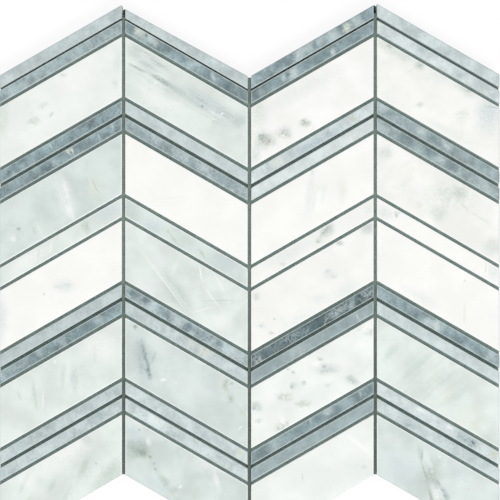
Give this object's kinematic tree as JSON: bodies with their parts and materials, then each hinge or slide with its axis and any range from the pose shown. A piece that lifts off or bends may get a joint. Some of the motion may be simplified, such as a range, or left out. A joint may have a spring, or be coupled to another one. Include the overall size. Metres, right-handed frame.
{
  "type": "chevron mosaic wall tile",
  "caption": "Sheet of polished marble wall mosaic: slanted grey and white pieces set at open joints on a glass-mesh backing, in rising and falling columns that make a chevron.",
  "frame": {"origin": "middle of the sheet's outline, on the back face that is bedded on the wall", "axes": "+Z out of the polished face, +Y up the wall towards the points of the chevron, +X to the right"},
  "size_m": [0.3028, 0.328, 0.0103],
  "materials": {
    "grey_marble": "polished",
    "white_marble": "polished",
    "glass_mesh": "matte"
  },
  "bodies": {
    "root": {"grey_strip_c1_r01": "grey_marble", "grey_strip_c1_r02": "grey_marble", "grey_strip_c1_r04": "grey_marble", "grey_strip_c1_r05": "grey_marble", "grey_strip_c1_r09": "grey_marble", "grey_strip_c1_r10": "grey_marble", "grey_strip_c1_r12": "grey_marble", "grey_strip_c1_r13": "grey_marble", "grey_strip_c2_r01": "grey_marble", "grey_strip_c2_r02": "grey_marble", "grey_strip_c2_r04": "grey_marble", "grey_strip_c2_r05": "grey_marble", "grey_strip_c2_r09": "grey_marble", "grey_strip_c2_r10": "grey_marble", "grey_strip_c2_r12": "grey_marble", "grey_strip_c2_r13": "grey_marble", "grey_strip_c3_r01": "grey_marble", "grey_strip_c3_r02": "grey_marble", "grey_strip_c3_r04": "grey_marble", "grey_strip_c3_r05": "grey_marble", "grey_strip_c3_r09": "grey_marble", "grey_strip_c3_r10": "grey_marble", "grey_strip_c3_r12": "grey_marble", "grey_strip_c3_r13": "grey_marble", "grey_strip_c4_r01": "grey_marble", "grey_strip_c4_r02": "grey_marble", "grey_strip_c4_r04": "grey_marble", "grey_strip_c4_r05": "grey_marble", "grey_strip_c4_r09": "grey_marble", "grey_strip_c4_r10": "grey_marble", "grey_strip_c4_r12": "grey_marble", "grey_strip_c4_r13": "grey_marble", "mesh_backing": "glass_mesh", "white_accent_c1_r07": "white_marble", "white_accent_c2_r07": "white_marble", "white_accent_c3_r07": "white_marble", "white_accent_c4_r07": "white_marble", "white_field_c1_r03": "white_marble", "white_field_c1_r06": "white_marble", "white_field_c1_r08": "white_marble", "white_field_c1_r11": "white_marble", "white_field_c1_r14": "white_marble", "white_field_c2_r03": "white_marble", "white_field_c2_r06": "white_marble", "white_field_c2_r08": "white_marble", "white_field_c2_r11": "white_marble", "white_field_c2_r14": "white_marble", "white_field_c3_r03": "white_marble", "white_field_c3_r06": "white_marble", "white_field_c3_r08": "white_marble", "white_field_c3_r11": "white_marble", "white_field_c3_r14": "white_marble", "white_field_c4_r03": "white_marble", "white_field_c4_r06": "white_marble", "white_field_c4_r08": "white_marble", "white_field_c4_r11": "white_marble", "white_field_c4_r14": "white_marble"}
  },
  "joints": []
}
